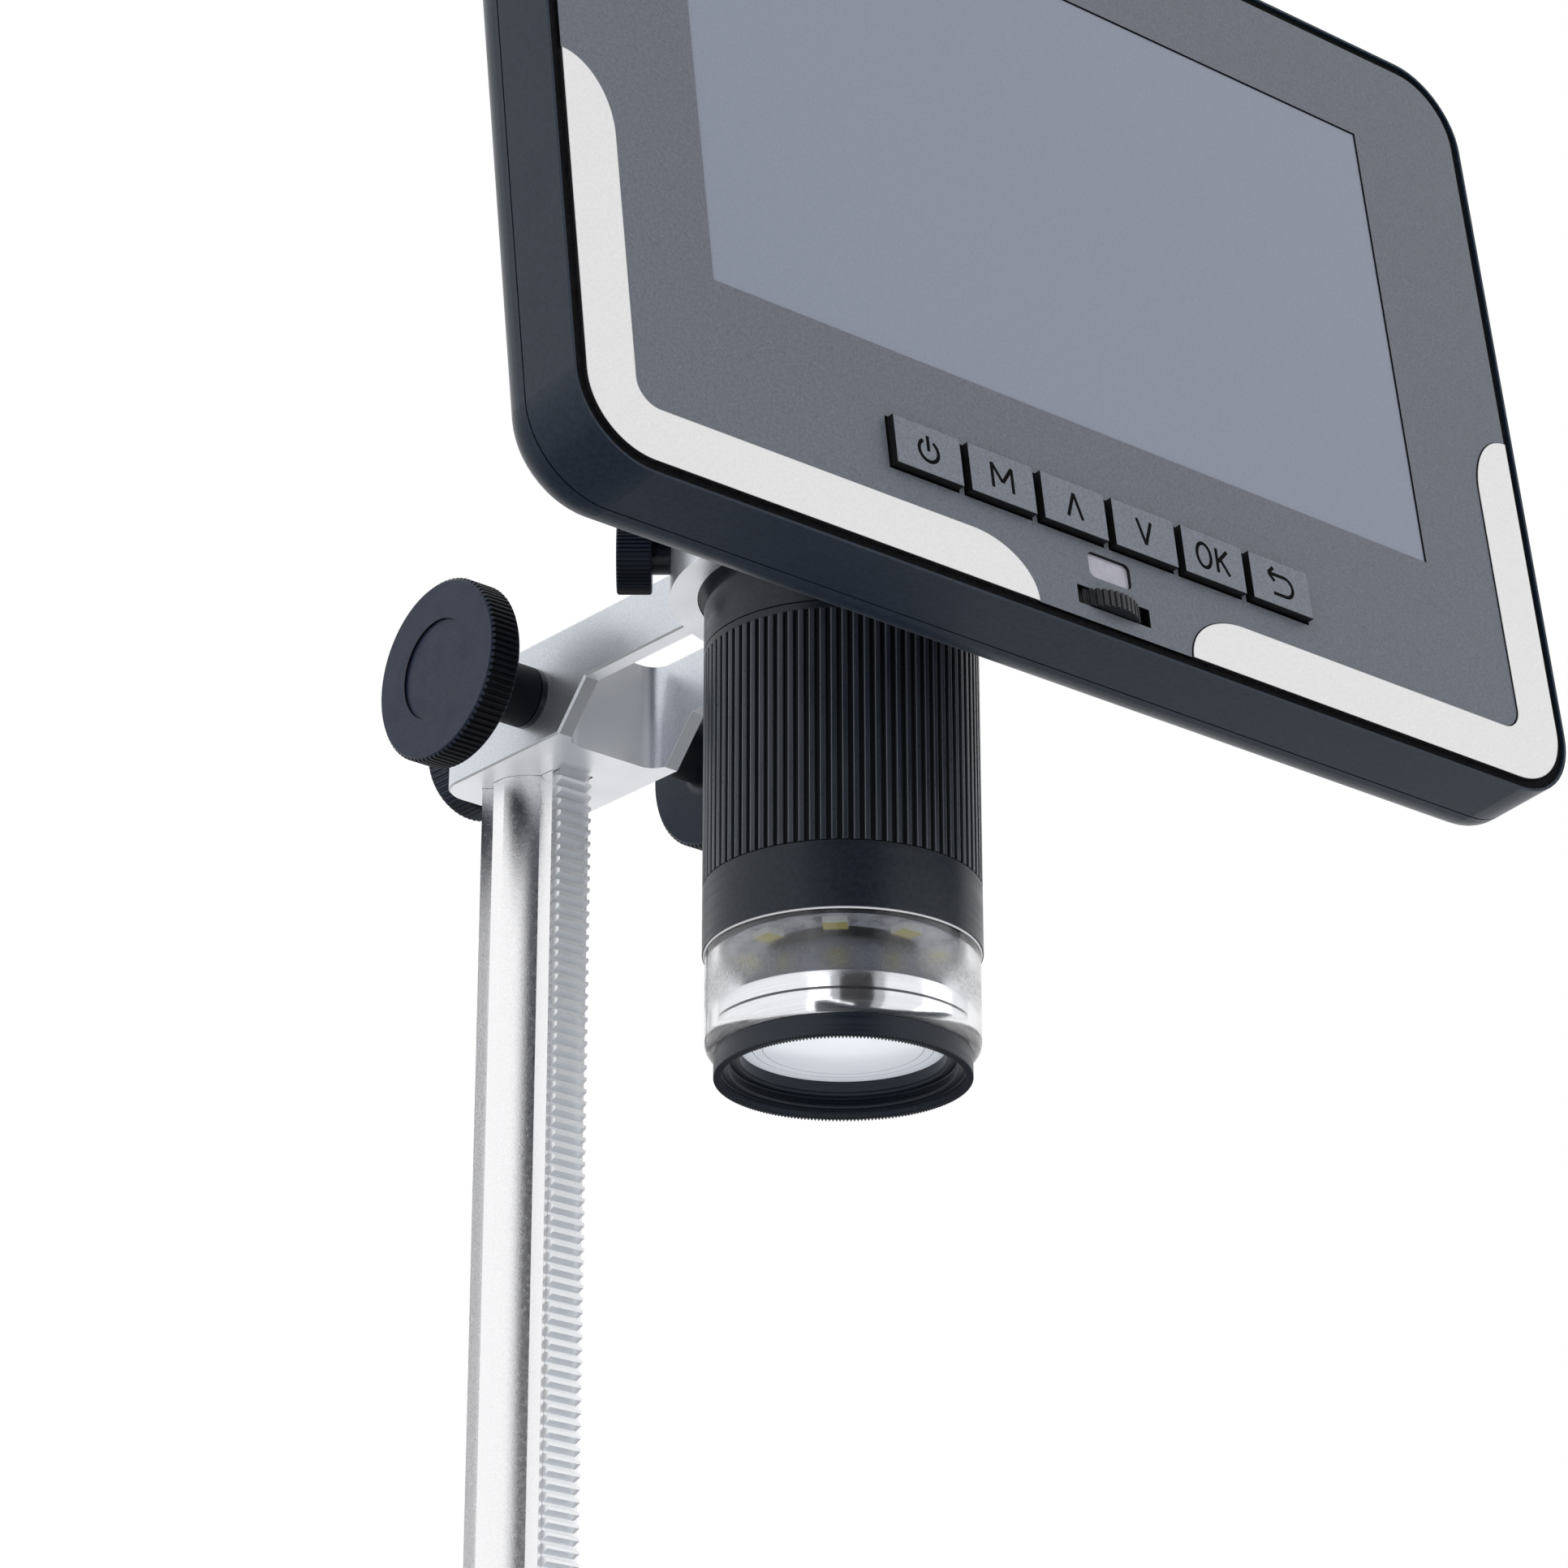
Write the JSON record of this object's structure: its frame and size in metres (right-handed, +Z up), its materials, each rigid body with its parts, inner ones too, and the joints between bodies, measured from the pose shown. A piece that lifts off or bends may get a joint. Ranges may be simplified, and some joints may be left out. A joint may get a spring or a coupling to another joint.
{
  "type": "digital microscope",
  "caption": "Desk digital microscope with a tilted display head on a camera barrel, a rack-and-pinion column, a swivel arm and a flat base.",
  "frame": {"origin": "middle of the base plate's outline, on the surface that the feet stand on", "axes": "+Z up along the column, -Y towards the user and the front of the display, +X to the user's right"},
  "size_m": [0.2, 0.15, 0.3483],
  "materials": {
    "base_paint": "fine textured satin",
    "foot_rubber": "matte",
    "mat": "fine grain",
    "column_metal": "satin drawn",
    "rack_metal": "zinc plated",
    "arm_metal": "fine blasted, machined edges",
    "nylon": "plain",
    "steel": "turned",
    "knob_plastic": "satin",
    "barrel_black": "satin",
    "clear_plastic": "clear",
    "bright_metal": "turned, bright",
    "lens_glass": "polished",
    "filter_black": "black anodised look",
    "led_yellow": "phosphor",
    "board_green": "solder mask",
    "sensor_black": "polished",
    "housing": "satin charcoal blue",
    "panel_grey": "speckled metallic grey",
    "trim_silver": "satin silver white",
    "screen": "anti-glare, switched off",
    "screen_back": "plain",
    "key_grey": "satin",
    "window_pale": "translucent",
    "wheel_black": "matte",
    "battery": "foil wrapped"
  },
  "bodies": {
    "stand": {"base_plate": "base_paint", "base_feet": "foot_rubber", "work_mat": "mat", "column": "column_metal", "column_collar": "base_paint", "column_bolt": "steel", "column_cap": "knob_plastic", "rack": "rack_metal"},
    "carriage": {"arm_bracket": "arm_metal", "pinion_bushes": "knob_plastic", "swivel_washer": "nylon"},
    "pinion": {"pinion_shaft": "steel", "left_knob": "knob_plastic", "right_knob": "knob_plastic", "knob_caps": "knob_plastic", "knob_screws": "steel"},
    "lock": {"lock_screw": "steel", "lock_knob": "knob_plastic"},
    "ring_screw": {"thumb_screw": "steel", "thumb_knob": "knob_plastic"},
    "head": {"front_shell": "housing", "rear_cover": "housing", "camera_housing": "housing", "case_screws": "steel", "face_panel": "panel_grey", "trim_left": "trim_silver", "trim_right": "trim_silver", "lcd_glass": "screen", "lcd_module": "screen_back", "key_board": "board_green", "tact_switches": "knob_plastic", "ir_window": "window_pale", "wheel_pot": "knob_plastic", "main_board": "board_green", "battery_pack": "battery", "dc_jack": "knob_plastic", "neck_tube": "barrel_black", "inner_tube": "barrel_black", "barrel_sleeve": "barrel_black", "lower_sleeve": "barrel_black", "led_board": "board_green", "leds": "led_yellow", "clear_hood": "clear_plastic", "lens_cell": "bright_metal", "filter_ring": "filter_black", "filter_glass": "lens_glass", "sensor_board": "board_green", "image_sensor": "sensor_black"},
    "focus": {"focus_ring": "barrel_black"},
    "carrier": {"lens_carrier": "barrel_black", "lenses": "lens_glass", "drive_pin": "steel"},
    "wheel": {"brightness_wheel": "wheel_black"},
    "key_power_body": {"key_power": "key_grey"},
    "key_menu_body": {"key_menu": "key_grey"},
    "key_up_body": {"key_up": "key_grey"},
    "key_down_body": {"key_down": "key_grey"},
    "key_ok_body": {"key_ok": "key_grey"},
    "key_back_body": {"key_back": "key_grey"}
  },
  "joints": [
    {"name": "carriage_slide", "type": "slide", "parent": "stand", "child": "carriage", "axis": [0, 0, 1], "range_m": [-0.15, 0]},
    {"name": "pinion_spin", "type": "hinge", "parent": "carriage", "child": "pinion", "pos_m": [0, 0.0309, 0.2651], "axis": [1, 0, 0], "range_deg": [0, 2866]},
    {"name": "lock_turn", "type": "hinge", "parent": "carriage", "child": "lock", "pos_m": [0, 0.052, 0.266], "axis": [0, 1, 0], "range_deg": [-360, 0]},
    {"name": "ring_screw_turn", "type": "hinge", "parent": "carriage", "child": "ring_screw", "pos_m": [-0.01586, -0.00469, 0.2699], "axis": [-0.766, 0.6428, 0], "range_deg": [-360, 0]},
    {"name": "head_swivel", "type": "hinge", "parent": "carriage", "child": "head", "pos_m": [0, -0.018, 0.27], "axis": [0, 0, 1], "range_deg": [-75, 75]},
    {"name": "focus_turn", "type": "hinge", "parent": "head", "child": "focus", "pos_m": [0, -0.018, 0.241], "axis": [0, 0, 1], "range_deg": [-120, 120]},
    {"name": "lens_slide", "type": "slide", "parent": "head", "child": "carrier", "axis": [0, 0, 1], "range_m": [-0.002, 0.002]},
    {"name": "wheel_turn", "type": "hinge", "parent": "head", "child": "wheel", "pos_m": [0, -0.05999, 0.24655], "axis": [0, 0.1305, 0.9914], "range_deg": [-135, 135]},
    {"name": "key_power_press", "type": "slide", "parent": "head", "child": "key_power_body", "axis": [0, 0.9914, -0.1305], "range_m": [0, 0.0005], "stiffness_N_per_m": 600, "springref_m": -0.0003},
    {"name": "key_menu_press", "type": "slide", "parent": "head", "child": "key_menu_body", "axis": [0, 0.9914, -0.1305], "range_m": [0, 0.0005], "stiffness_N_per_m": 600, "springref_m": -0.0003},
    {"name": "key_up_press", "type": "slide", "parent": "head", "child": "key_up_body", "axis": [0, 0.9914, -0.1305], "range_m": [0, 0.0005], "stiffness_N_per_m": 600, "springref_m": -0.0003},
    {"name": "key_down_press", "type": "slide", "parent": "head", "child": "key_down_body", "axis": [0, 0.9914, -0.1305], "range_m": [0, 0.0005], "stiffness_N_per_m": 600, "springref_m": -0.0003},
    {"name": "key_ok_press", "type": "slide", "parent": "head", "child": "key_ok_body", "axis": [0, 0.9914, -0.1305], "range_m": [0, 0.0005], "stiffness_N_per_m": 600, "springref_m": -0.0003},
    {"name": "key_back_press", "type": "slide", "parent": "head", "child": "key_back_body", "axis": [0, 0.9914, -0.1305], "range_m": [0, 0.0005], "stiffness_N_per_m": 600, "springref_m": -0.0003}
  ],
  "couplings": [
    {"joint": "pinion_spin", "follows": "carriage_slide", "rad_per_m": -333.33},
    {"joint": "lens_slide", "follows": "focus_turn", "m_per_rad": 0.000954}
  ]
}
